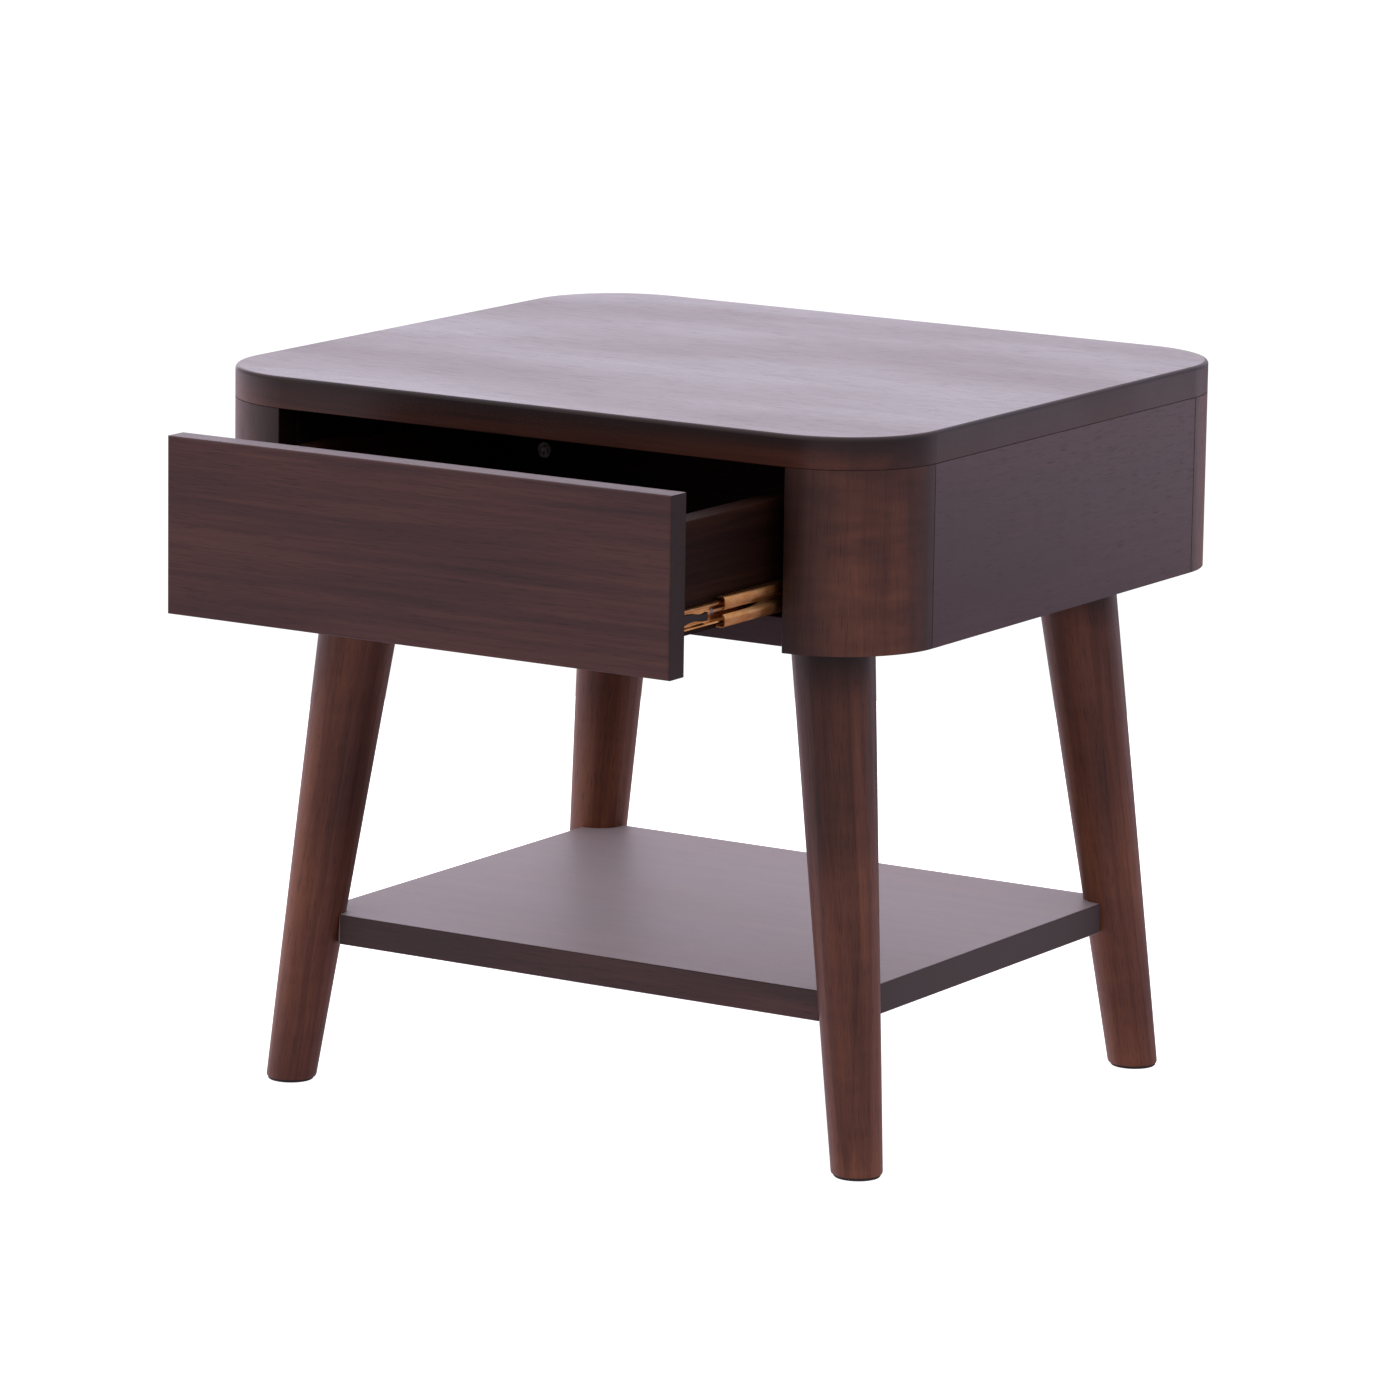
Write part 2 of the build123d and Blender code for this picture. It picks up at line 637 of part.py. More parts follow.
for side, sx in SIDES.items():
    save(f"side_panel_{side}", side_panel(sx))
    save(f"slide_divider_{side}", divider(sx))
    save(f"top_batten_{side}", top_batten(sx))
    save(f"drawer_side_{side}", drawer_side(sx))
    save(f"slide_cabinet_member_{side}", slide_cabinet(sx))
    save(f"slide_middle_member_{side}", slide_middle(sx))
    save(f"slide_drawer_member_{side}", slide_drawer(sx))
    save(f"release_lever_{side}", release_lever(sx))
    for kind in ("outer", "inner"):
        save(f"{kind}_ball_cage_{side}", ball_cage(sx, kind))
        save(f"{kind}_balls_{side}", balls(sx, kind))
    for end, sy in ENDS.items():
        save(f"corner_block_{end}_{side}", corner_block(sx, sy))
        save(f"leg_{end}_{side}", leg(sx, sy))
        save(f"foot_glide_{end}_{side}", foot_glide(sx, sy))

CORNERS = [(sx, sy) for sx in SIDES.values() for sy in ENDS.values()]
save("case_dowels", group(case_dowels()))
save("shelf_dowels", group(shelf_dowel(sx, sy) for sx, sy in CORNERS))
save("leg_bolts", group(leg_bolt(sx, sy) for sx, sy in CORNERS))
save("leg_inserts", group(insert_body(sx, sy) - leg_bolt(sx, sy, CLEARANCE) for sx, sy in CORNERS))
save("glide_nails", group(glide_nail(sx, sy) for sx, sy in CORNERS))
save("top_screws", group(screws(top_screw_points())))
save("divider_screws", group(screws(divider_screw_points())))
save("drawer_dowels", group(drawer_dowels()))
save("drawer_cams", group(cam(m, i) - cross_slot(m, i, 7.0, 1.4, 1.5) for m, i, _ in cam_places()))
save("drawer_cam_bolts", group(cam_bolt(m, i, f) for m, i, f in cam_places()))
save("cabinet_slide_screws", group(s for sx in SIDES.values() for s in cabinet_screws(sx)))
save("drawer_slide_screws", group(s for sx in SIDES.values() for s in drawer_member_screws(sx)))
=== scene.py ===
"""Looks for a low side table with one drawer and a shelf.

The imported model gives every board, fitting and moving body. This script adds the finishes, the turned legs,
the rolled slide members and the small hardware, then the studio. Lengths are in metres.
"""
import json
from math import cos, pi, radians, sin

import bmesh
import bpy
from mathutils import Matrix, Vector


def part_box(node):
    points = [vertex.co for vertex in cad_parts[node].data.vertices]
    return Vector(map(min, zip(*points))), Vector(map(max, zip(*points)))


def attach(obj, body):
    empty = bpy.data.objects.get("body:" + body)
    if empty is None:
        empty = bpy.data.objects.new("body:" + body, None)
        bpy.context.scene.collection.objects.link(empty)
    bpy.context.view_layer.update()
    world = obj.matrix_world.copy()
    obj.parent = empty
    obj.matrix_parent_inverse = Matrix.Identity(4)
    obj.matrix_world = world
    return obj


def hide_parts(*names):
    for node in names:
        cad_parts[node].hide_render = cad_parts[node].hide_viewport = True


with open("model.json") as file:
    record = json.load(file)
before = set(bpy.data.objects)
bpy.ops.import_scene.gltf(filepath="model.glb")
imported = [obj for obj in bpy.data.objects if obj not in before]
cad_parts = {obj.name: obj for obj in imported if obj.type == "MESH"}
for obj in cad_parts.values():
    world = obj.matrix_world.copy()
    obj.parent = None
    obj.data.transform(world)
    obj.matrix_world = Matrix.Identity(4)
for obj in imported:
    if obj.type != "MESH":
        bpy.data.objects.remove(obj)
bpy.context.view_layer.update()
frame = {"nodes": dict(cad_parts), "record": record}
nodes = frame["nodes"]
bodies = frame["record"]["behaviour"]["bodies"]

SIDES = ("left", "right")
ENDS = ("front", "back")
ALONG_X, ALONG_Y, ALONG_Z = (1, 0, 0), (0, 1, 0), (0, 0, 1)


# ---------------------------------------------------------------- camera
AIM = Vector((-0.0428, 0.0385, 0.2811))
AZIMUTH = radians(32.057)
ELEVATION = radians(11.142)
ROLL = radians(0.871)
DISTANCE = 5.748
LENS = 191.0
FILM_WIDTH = 36.0
FAR_CLIP = 100.0


def make_camera():
    """A long lens a little above the table top, off to the right of the drawer."""
    back = Vector((sin(AZIMUTH) * cos(ELEVATION), -cos(AZIMUTH) * cos(ELEVATION), sin(ELEVATION)))
    level = Vector((cos(AZIMUTH), sin(AZIMUTH), 0))
    upright = back.cross(level)
    right = level * cos(ROLL) + upright * sin(ROLL)
    up = upright * cos(ROLL) - level * sin(ROLL)
    data = bpy.data.cameras.new("camera")
    data.lens = LENS
    data.sensor_width = FILM_WIDTH
    data.clip_end = FAR_CLIP
    camera = bpy.data.objects.new("camera", data)
    turn = Matrix((right, up, back)).transposed().to_4x4()
    camera.matrix_world = Matrix.Translation(AIM + back * DISTANCE) @ turn
    bpy.context.scene.collection.objects.link(camera)
    bpy.context.scene.camera = camera


make_camera()


# ---------------------------------------------------------------- node helpers
class Nodes:
    """Adds nodes to a tree and joins them: an input given as a socket is linked, any other is set."""

    def __init__(self, tree):
        self.tree = tree

    def add(self, kind, inputs=None, **settings):
        node = self.tree.nodes.new(kind)
        for key, value in settings.items():
            setattr(node, key, value)
        for key, value in (inputs or {}).items():
            if isinstance(value, bpy.types.NodeSocket):
                self.tree.links.new(value, node.inputs[key])
            else:
                node.inputs[key].default_value = value
        return node

    def math(self, operation, a, b=0.0, clamp=False):
        return self.add("ShaderNodeMath", {0: a, 1: b}, operation=operation, use_clamp=clamp).outputs[0]


class Tree(Nodes):
    """The node tree of a material or world."""

    def __init__(self, owner):
        owner.use_nodes = True
        super().__init__(owner.node_tree)
        self.tree.nodes.clear()

    def mix(self, factor, a, b):
        node = self.add("ShaderNodeMix", data_type="RGBA")
        for key, value in ((0, factor), (6, a), (7, b)):
            if isinstance(value, bpy.types.NodeSocket):
                self.tree.links.new(value, node.inputs[key])
            else:
                node.inputs[key].default_value = value if key == 0 else (*value, 1.0)
        return node.outputs[2]

    def ramp(self, factor, stops):
        node = self.add("ShaderNodeValToRGB", {0: factor})
        elements = node.color_ramp.elements
        while len(elements) < len(stops):
            elements.new(0.5)
        for element, (place, colour) in zip(elements, stops):
            element.position = place
            element.color = (*colour, 1.0)
        return node.outputs[0]

    def spread(self, value, low, high, to_low=0.0, to_high=1.0):
        return self.add(
            "ShaderNodeMapRange",
            {"Value": value, "From Min": low, "From Max": high, "To Min": to_low, "To Max": to_high},
        ).outputs[0]


def srgb(r, g, b):
    """Eight-bit screen values as scene-linear ones."""
    return tuple((v / 255 / 12.92) if v <= 10 else ((v / 255 + 0.055) / 1.055) ** 2.4 for v in (r, g, b))


# ---------------------------------------------------------------- studio
SKY_BEHIND = (0.72, 0.64, 0.77)
SKY_FRONT = (0.66, 0.56, 0.58)
SKY_LOW = (0.48, 0.37, 0.42)
SKY_LOW_LEFT = (1.10, 0.86, 0.98)
SKY_LOW_RIGHT = (0.44, 0.33, 0.39)
SKY_TOP = (0.95, 0.88, 0.98)
SEEN_WHITE = 1.1

FLOOR_LEVEL = -0.0004
FLOOR_RADIUS = 1.5
FLOOR_SIDES = 96
FLOOR_GREY = (0.86, 0.86, 0.86, 1.0)


def make_world():
    """Soft light all round: bright behind, weaker in front and from below, plain white where it is seen."""
    world = bpy.data.worlds.new("studio")
    bpy.context.scene.world = world
    t = Tree(world)
    direction = t.add("ShaderNodeTexCoord").outputs["Generated"]
    xyz = t.add("ShaderNodeSeparateXYZ", {0: direction}).outputs
    behind = t.spread(xyz["Y"], -0.35, 0.75)
    round_about = t.mix(behind, SKY_FRONT, SKY_BEHIND)
    high = t.spread(xyz["Z"], 0.35, 0.95)
    upper = t.mix(high, round_about, SKY_TOP)
    low = t.spread(xyz["Z"], 0.04, -0.10)
    left = t.spread(xyz["X"], -0.45, -0.95)
    right = t.spread(xyz["X"], 0.45, 0.90)
    below = t.mix(right, t.mix(left, SKY_LOW, SKY_LOW_LEFT), SKY_LOW_RIGHT)
    light = t.mix(low, upper, below)
    lit = t.add("ShaderNodeBackground", {"Color": light, "Strength": 1.0}).outputs[0]
    seen = t.add("ShaderNodeBackground", {"Color": (1.0, 1.0, 1.0, 1.0), "Strength": SEEN_WHITE}).outputs[0]
    camera_ray = t.add("ShaderNodeLightPath").outputs["Is Camera Ray"]
    both = t.add("ShaderNodeMixShader", {0: camera_ray, 1: lit, 2: seen}).outputs[0]
    t.add("ShaderNodeOutputWorld", {"Surface": both})


def make_floor():
    """A pale round floor, a hair below the feet so that the two don't lie in one plane."""
    mesh = bpy.data.meshes.new("floor")
    turns = [2 * pi * i / FLOOR_SIDES for i in range(FLOOR_SIDES)]
    rim = [(FLOOR_RADIUS * cos(turn), FLOOR_RADIUS * sin(turn), FLOOR_LEVEL) for turn in turns]
    mesh.from_pydata(rim, [], [list(range(FLOOR_SIDES))])
    floor = bpy.data.objects.new("floor", mesh)
    bpy.context.scene.collection.objects.link(floor)
    material = bpy.data.materials.new("pale floor")
    t = Tree(material)
    shader = t.add(
        "ShaderNodeBsdfPrincipled",
        {"Base Color": FLOOR_GREY, "Roughness": 0.9, "Specular IOR Level": 0.0,
         "Emission Color": (1.0, 1.0, 1.0, 1.0), "Emission Strength": 1.0},
    ).outputs[0]
    t.add("ShaderNodeOutputMaterial", {"Surface": shader})
    mesh.materials.append(material)
    floor.visible_glossy = False
    floor.visible_diffuse = False


def area_light(name, place, aim, width, height, radiance, colour):
    """A soft panel of light that shines with a given radiance."""
    data = bpy.data.lights.new(name, "AREA")
    data.shape = "RECTANGLE"
    data.size = width
    data.size_y = height
    data.energy = radiance * pi * width * height
    data.color = colour
    light = bpy.data.objects.new(name, data)
    place, aim = Vector(place), Vector(aim)
    turn = (aim - place).to_track_quat("-Z", "Y").to_matrix().to_4x4()
    light.matrix_world = Matrix.Translation(place) @ turn
    light.visible_camera = False
    bpy.context.scene.collection.objects.link(light)


make_world()
make_floor()
area_light(
    "backdrop light", place=(-2.55, 2.3, 1.45), aim=(-2.55, 0.0, 1.45), width=3.6, height=2.7, radiance=0.93,
    colour=(0.93, 0.87, 1.0))
area_light(
    "floor card", place=(2.0, 3.25, 0.01), aim=(2.0, 3.25, 1.0), width=2.6, height=2.0, radiance=1.15,
    colour=(1.0, 0.83, 1.0))
bpy.context.scene.view_settings.view_transform = "Standard"


# ---------------------------------------------------------------- finishes
def finish_of(name, build):
    """A material whose shader `build(tree)` returns."""
    material = bpy.data.materials.new(name)
    t = Tree(material)
    t.add("ShaderNodeOutputMaterial", {"Surface": build(t)})
    return material


def stretched_noise(t, place, along, across, detail=2.0, roughness=0.5):
    """Noise drawn out along the grain: `along` and `across` are its features per metre."""
    vector = t.add("ShaderNodeMapping", {"Vector": place, "Scale": (along, across, across)}).outputs[0]
    return t.add(
        "ShaderNodeTexNoise", {"Vector": vector, "Scale": 1.0, "Detail": detail, "Roughness": roughness}
    ).outputs[0]


def turn_to_x(direction):
    """The Euler turn that lays a direction along X, so that every grain can be drawn along X."""
    return tuple(Vector(direction).normalized().rotation_difference(Vector(ALONG_X)).to_euler())


WALNUT_CASE = (srgb(52, 30, 24), srgb(82, 49, 37), srgb(110, 69, 49))
WALNUT_FRONT = (srgb(54, 36, 36), srgb(74, 46, 43), srgb(92, 60, 52))
WALNUT_SIDE = (srgb(31, 14, 19), srgb(46, 23, 30), srgb(63, 34, 40))
WALNUT_TOP = (srgb(38, 24, 26), srgb(56, 34, 34), srgb(74, 46, 44))
WALNUT_UPRIGHT_TONES = (srgb(50, 27, 18), srgb(84, 47, 33), srgb(112, 66, 46))
WALNUT_LEG = (srgb(58, 33, 24), srgb(103, 62, 46), srgb(138, 90, 64))
WALNUT_SHELF = (srgb(44, 28, 25), srgb(62, 38, 34), srgb(82, 51, 43))
DRAWER_WOOD = (srgb(20, 9, 5), srgb(36, 19, 12), srgb(54, 32, 20))
INNER_WOOD = (srgb(16, 10, 8), srgb(28, 18, 14), srgb(40, 27, 20))
PLYWOOD = (srgb(60, 38, 26), srgb(92, 62, 44), srgb(120, 86, 62))
BEECH = (srgb(150, 110, 78), srgb(190, 150, 112), srgb(214, 180, 142))
END_GRAIN = srgb(17, 12, 13)
PORE = srgb(14, 9, 9)
TONE_STOPS = (0.12, 0.5, 0.88)

# Noise in wood: features per metre along and across the grain, then detail and roughness.
PITH_SWAY = (1.6, 7.0, 2.0)
PITH_LIFT = (3.2, 5.0, 1.0)
FIBRES = (13.0, 430.0, 3.0, 0.6)
PORES = (55.0, 1700.0, 1.0)
CLOUDS = (3.0, 9.0, 2.0)
CURL = (75.0, 22.0, 2.0)
STREAK_LENGTH, STREAK_DETAIL, STREAK_ROUGHNESS = 2.4, 4.0, 0.62
SWAY_REACH, LIFT_REACH, PITH_LEAN = 0.045, 0.05, 0.04
RELIEF_DEPTH = 0.00012


def wood(name, tones, grain=ALONG_X, offset=(0, 0, 0), rings=0.35, ring_pitch=0.011, pith=0.07,
         streaks=0.7, fine=0.4, mottle=0.45, curl=0.0, gloss=0.30, shine=0.5, end_grain=0.85, relief=0.2,
         haze=0.0, closeness=62.0, dust=0.0, end_matt=0.22, follow=None, shade=None, edge_tones=None):
    """Stained, lacquered wood: growth rings round a far-off pith, streaks, fibres, pores and dark end grain.

    `follow` names an attribute to read the place from, so that the grain keeps to a leaning part.
    `shade(tree, place)` returns a factor from 0 to 1 of painted shade, which darkens the colour towards a
    quarter of its darkest tone. `edge_tones` are warmer tones used on a board's upright faces.
    """

    def build(t):
        coords = t.add("ShaderNodeTexCoord")
        turn = turn_to_x(grain)
        where = coords.outputs["Object"]
        if follow:
            where = t.add("ShaderNodeAttribute", attribute_name=follow).outputs["Vector"]
        place = t.add("ShaderNodeMapping", {"Vector": where, "Location": offset, "Rotation": turn}).outputs[0]

        # Growth rings: the distance from a pith that wanders and leans a little along the board.
        x, y, z = t.add("ShaderNodeSeparateXYZ", {0: place}).outputs
        sway = stretched_noise(t, place, *PITH_SWAY)
        lift = stretched_noise(t, place, *PITH_LIFT)
        leaning = t.math("ADD", y, t.math("MULTIPLY", x, PITH_LEAN))
        y_swayed = t.math("ADD", t.math("MULTIPLY", sway, SWAY_REACH), leaning)
        z_far = t.math("ADD", t.math("ADD", z, pith), t.math("MULTIPLY", lift, LIFT_REACH))
        far = t.math("SQRT", t.math("ADD", t.math("POWER", y_swayed, 2.0), t.math("POWER", z_far, 2.0)))
        in_ring = t.math("FRACT", t.math("DIVIDE", far, ring_pitch))
        early = t.math("SUBTRACT", 1.0, t.math("POWER", in_ring, 4.0))
        ring = t.math("MULTIPLY", t.math("MULTIPLY", early, t.spread(in_ring, 0.0, 0.10)), 2.0)
        ring = t.math("SUBTRACT", ring, 1.5)

        # The tone: rings, streaks, fibres and clouds about the middle of the three stain tones.
        streak = stretched_noise(t, place, STREAK_LENGTH, closeness, STREAK_DETAIL, STREAK_ROUGHNESS)
        fibre = stretched_noise(t, place, *FIBRES)
        pore_noise = stretched_noise(t, place, *PORES)
        cloud = stretched_noise(t, place, *CLOUDS)
        tone = t.math("MULTIPLY", ring, 0.14 * rings)
        tone = t.math("ADD", tone, t.math("MULTIPLY", t.math("SUBTRACT", streak, 0.5), 1.7 * streaks))
        tone = t.math("ADD", tone, t.math("MULTIPLY", t.math("SUBTRACT", fibre, 0.5), 1.2 * fine))
        tone = t.math("ADD", tone, t.math("MULTIPLY", t.math("SUBTRACT", cloud, 0.5), 2.2 * mottle))
        if curl:
            ripple = stretched_noise(t, place, *CURL)
            tone = t.math("ADD", tone, t.math("MULTIPLY", t.math("SUBTRACT", ripple, 0.5), 1.6 * curl))
        tone = t.math("ADD", tone, 0.5)
        colour = t.ramp(tone, tuple(zip(TONE_STOPS, tones)))
        # Warmer tones on upright faces, blended in by how upright the face stands.
        if edge_tones:
            up = t.add("ShaderNodeSeparateXYZ", {0: coords.outputs["Normal"]}).outputs["Z"]
            upright = t.spread(t.math("ABSOLUTE", up), 0.8, 0.4)
            colour = t.mix(upright, colour, t.ramp(tone, tuple(zip(TONE_STOPS, edge_tones))))
        # Painted shade: the colour is darkened where the shade factor is high.
        if shade:
            colour = t.mix(shade(t, where), colour, tuple(0.25 * c for c in tones[0]))

        # Pores, and the darker, duller wood that shows where the fibres are cut across.
        pore = t.spread(pore_noise, 0.60, 0.70)
        colour = t.mix(t.math("MULTIPLY", pore, 0.45), colour, PORE)
        normal = t.add("ShaderNodeMapping", {"Vector": coords.outputs["Normal"], "Rotation": turn}).outputs[0]
        facing = t.math("ABSOLUTE", t.add("ShaderNodeSeparateXYZ", {0: normal}).outputs[0])
        across_grain = t.spread(facing, 0.55, 0.95)
        colour = t.mix(t.math("MULTIPLY", across_grain, end_grain), colour, END_GRAIN)

        # The lacquer's gloss.
        roughness = t.math("ADD", t.math("MULTIPLY", cloud, 0.10 + haze), gloss - 0.05 - 0.75 * haze)
        roughness = t.math("ADD", roughness, t.math("MULTIPLY", streak, 0.5 * haze))
        roughness = t.math("ADD", roughness, t.math("MULTIPLY", pore, 0.12))
        roughness = t.math("ADD", roughness, t.math("MULTIPLY", across_grain, end_matt))
        height = t.math("SUBTRACT", t.math("MULTIPLY", fibre, 0.35), pore)
        bump = t.add(
            "ShaderNodeBump", {"Height": height, "Strength": relief, "Distance": RELIEF_DEPTH}
        ).outputs[0]
        return t.add(
            "ShaderNodeBsdfPrincipled",
            {"Base Color": colour, "Roughness": roughness, "Normal": bump, "Specular IOR Level": shine,
             "Sheen Weight": dust, "Sheen Roughness": 0.35, "Sheen Tint": (1.0, 0.93, 0.95, 1.0)},
        ).outputs[0]

    return finish_of(name, build)


def painted_block_shade(opening_edge, seam):
    """Painted shade on a corner block, deepest by the drawer opening and by the seam with a panel."""

    def shade(t, where):
        xyz = t.add("ShaderNodeSeparateXYZ", {0: where}).outputs
        from_opening = t.math("SUBTRACT", t.math("ABSOLUTE", xyz["X"]), opening_edge)
        from_seam = t.math("SUBTRACT", t.math("ABSOLUTE", xyz["Y"]), seam)
        cloud = stretched_noise(t, where, 60.0, 22.0)
        drift = t.math("MULTIPLY", t.math("SUBTRACT", cloud, 0.5), 0.012)
        near_opening = t.math("MULTIPLY", from_opening, 0.7)
        nearest = t.math("ADD", t.math("MINIMUM", near_opening, from_seam), drift)
        return t.spread(nearest, 0.032, 0.002, 0.0, 0.86)

    return shade


SLAB_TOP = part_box("top_slab")[1].z


def painted_shade_under_arris(t, where):
    """Painted shade round the slab's upright faces, deepest just under its rounded arris and kept off the
    top.
    """
    height = t.add("ShaderNodeSeparateXYZ", {0: where}).outputs["Z"]
    nearing = t.spread(height, SLAB_TOP - 0.020, SLAB_TOP - 0.005, 0.0, 0.85)
    clear_top = t.spread(height, SLAB_TOP - 0.0015, SLAB_TOP - 0.0003, 1.0, 0.0)
    return t.math("MULTIPLY", nearing, clear_top)


def painted_leg_shade(t, where):
    """A leg's painted shade: a painted shadow deepest just under the case, over a painted darkening that
    lessens towards the foot.
    """
    height = t.add("ShaderNodeSeparateXYZ", {0: where}).outputs["Z"]
    shade_fading_to_foot = t.spread(height, 0.02, 0.36, 0.0, 0.16)
    shadow_under_case = t.spread(height, 0.346, 0.384, 0.0, 0.94)
    return t.math("MAXIMUM", shade_fading_to_foot, shadow_under_case)


def metal(name, colour, tint, roughness, metallic=1.0):
    """Rolled or plated metal: fine lines along the slides' length, and faint stains."""

    def build(t):
        coords = t.add("ShaderNodeTexCoord")
        place = t.add(
            "ShaderNodeMapping", {"Vector": coords.outputs["Object"], "Rotation": turn_to_x(ALONG_Y)}
        ).outputs[0]
        lines = stretched_noise(t, place, 30.0, 2600.0, 2.0)
        stain = stretched_noise(t, place, 60.0, 140.0, 3.0)
        base = t.mix(t.spread(stain, 0.38, 0.66), colour, tint)
        rough = t.math("ADD", t.math("MULTIPLY", lines, 0.16), roughness - 0.08)
        bump = t.add("ShaderNodeBump", {"Height": lines, "Strength": 0.3, "Distance": 0.00004}).outputs[0]
        return t.add(
            "ShaderNodeBsdfPrincipled",
            {"Base Color": base, "Roughness": rough, "Normal": bump, "Metallic": metallic},
        ).outputs[0]

    return finish_of(name, build)


def moulded(name, colour, roughness):
    """Moulded plastic with a fine spark-eroded grain."""

    def build(t):
        place = t.add("ShaderNodeTexCoord").outputs["Object"]
        grain = stretched_noise(t, place, 1500.0, 1500.0, 2.0)
        wide = stretched_noise(t, place, 40.0, 40.0, 2.0)
        base = t.mix(wide, colour, tuple(1.7 * c for c in colour))
        rough = t.math("ADD", t.math("MULTIPLY", grain, 0.15), roughness - 0.07)
        bump = t.add("ShaderNodeBump", {"Height": grain, "Strength": 0.25, "Distance": 0.00006}).outputs[0]
        return t.add(
            "ShaderNodeBsdfPrincipled", {"Base Color": base, "Roughness": rough, "Normal": bump}
        ).outputs[0]

    return finish_of(name, build)


def dress(node_name, material):
    """Give a model node its finish."""
    mesh = nodes[node_name].data
    mesh.materials.clear()
    mesh.materials.append(material)


# ---------------------------------------------------------------- new pieces
SMOOTH_BELOW = radians(32)
NUMBER, VECTOR = "NodeSocketFloat", "NodeSocketVector"
GEOMETRY, MATERIAL = "NodeSocketGeometry", "NodeSocketMaterial"


def body_of(node_name):
    """The moving body that a model node belongs to."""
    return next(body for body, members in bodies.items() if node_name in members)


def put_in(obj, node_name, material=None):
    """A finished piece takes a model node's place, on that node's body.

    A grown piece has its finish already, so it comes without one.
    """
    if material:
        obj.data.materials.clear()
        obj.data.materials.append(material)
    obj.data.shade_smooth()
    obj.data.set_sharp_from_angle(angle=SMOOTH_BELOW)
    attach(obj, body_of(node_name))
    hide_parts(node_name)


def settled(obj, name):
    """The object with its modifiers applied, as a plain mesh of that name."""
    bpy.context.view_layer.update()
    evaluated = obj.evaluated_get(bpy.context.evaluated_depsgraph_get())
    mesh = bpy.data.meshes.new_from_object(evaluated)
    mesh.name = name
    bpy.data.objects.remove(obj)
    plain = bpy.data.objects.new(name, mesh)
    bpy.context.scene.collection.objects.link(plain)
    return plain


class NodeGroup(Nodes):
    """A geometry tree with named inputs, given as (name, socket kind)."""

    def __init__(self, name, inputs):
        super().__init__(bpy.data.node_groups.new(name, "GeometryNodeTree"))
        face = self.tree.interface
        self.sockets = {
            label: face.new_socket(label, in_out="INPUT", socket_type=kind) for label, kind in inputs
        }
        face.new_socket("Geometry", in_out="OUTPUT", socket_type="NodeSocketGeometry")
        self.given = self.tree.nodes.new("NodeGroupInput").outputs

    def vector(self, operation, a, b, output="Vector"):
        return self.add("ShaderNodeVectorMath", {0: a, 1: b}, operation=operation).outputs[output]

    def combine(self, x=0.0, y=0.0, z=0.0):
        return self.add("ShaderNodeCombineXYZ", {0: x, 1: y, 2: z}).outputs[0]

    def position(self):
        """X, Y and Z of the point that is being worked on."""
        position = self.add("GeometryNodeInputPosition").outputs[0]
        return self.add("ShaderNodeSeparateXYZ", {0: position}).outputs

    def close(self, geometry):
        """Ends the tree: real mesh with the finish set."""
        real = self.add("GeometryNodeRealizeInstances", {0: geometry}).outputs[0]
        done = self.add("GeometryNodeSetMaterial", {0: real, 2: self.given["Finish"]}).outputs[0]
        self.add("NodeGroupOutput", {0: done})
        return self

    def grow(self, name, values, points=None):
        """A plain mesh made by the tree with these values, on these points where it takes any."""
        seed = bpy.data.objects.new(name + " seed", points or bpy.data.meshes.new(name + " seed"))
        bpy.context.scene.collection.objects.link(seed)
        modifier = seed.modifiers.new("grow", "NODES")
        modifier.node_group = self.tree
        for label, value in values.items():
            modifier[self.sockets[label].identifier] = value
        return settled(seed, name)


LEG_SIDES, LEG_RINGS = 80, 48
LEG_EDGE = 0.0014
SAME_LEVEL = 0.0001


def leg_tree():
    """A leg turned to a straight taper about its leaning middle, its foot's edge rounded over.

    The attribute "place" keeps each point's place on the upright blank, which the grain follows.
    """
    g = NodeGroup("turned leg", (
        ("Foot", VECTOR), ("Top", VECTOR), ("Foot Radius", NUMBER), ("Top Radius", NUMBER),
        ("Edge Radius", NUMBER), ("Finish", MATERIAL),
    ))
    blank = g.add(
        "GeometryNodeMeshCylinder",
        {"Vertices": LEG_SIDES, "Side Segments": LEG_RINGS, "Fill Segments": 3, "Radius": 1.0, "Depth": 1.0},
        fill_type="TRIANGLE_FAN",
    ).outputs["Mesh"]
    x, y, z = g.position()
    # The rings crowd towards both ends, where the foot's edge needs them.
    along = g.math("MULTIPLY", g.math("ADD", z, 0.5), pi)
    up = g.math("SUBTRACT", 0.5, g.math("MULTIPLY", g.math("COSINE", along), 0.5))
    span = g.vector("DISTANCE", g.given["Top"], g.given["Foot"], "Value")
    height = g.math("MULTIPLY", up, span)
    inside = g.math("SUBTRACT", 1.0, g.math("DIVIDE", height, g.given["Edge Radius"]), clamp=True)
    left_over = g.math("SQRT", g.math("SUBTRACT", 1.0, g.math("MULTIPLY", inside, inside)))
    drop = g.math("MULTIPLY", g.math("SUBTRACT", 1.0, left_over), g.given["Edge Radius"])
    taper = g.add("ShaderNodeMix", {0: up, 2: g.given["Foot Radius"], 3: g.given["Top Radius"]}).outputs[0]
    radius = g.math("SUBTRACT", taper, drop)
    place = g.combine(g.math("MULTIPLY", x, radius), g.math("MULTIPLY", y, radius), height)
    marked = g.add(
        "GeometryNodeStoreNamedAttribute", {"Geometry": blank, "Name": "place", "Value": place},
        data_type="FLOAT_VECTOR", domain="POINT",
    ).outputs[0]
    middle = g.add(
        "ShaderNodeMix", {0: up, 4: g.given["Foot"], 5: g.given["Top"]}, data_type="VECTOR"
    ).outputs[1]
    kept = g.add("GeometryNodeInputNamedAttribute", {"Name": "place"}, data_type="FLOAT_VECTOR").outputs[0]
    target = g.vector("ADD", middle, g.vector("MULTIPLY", kept, (1.0, 1.0, 0.0)))
    return g.close(g.add("GeometryNodeSetPosition", {"Geometry": marked, "Position": target}).outputs[0])


LEG_TREE = leg_tree()


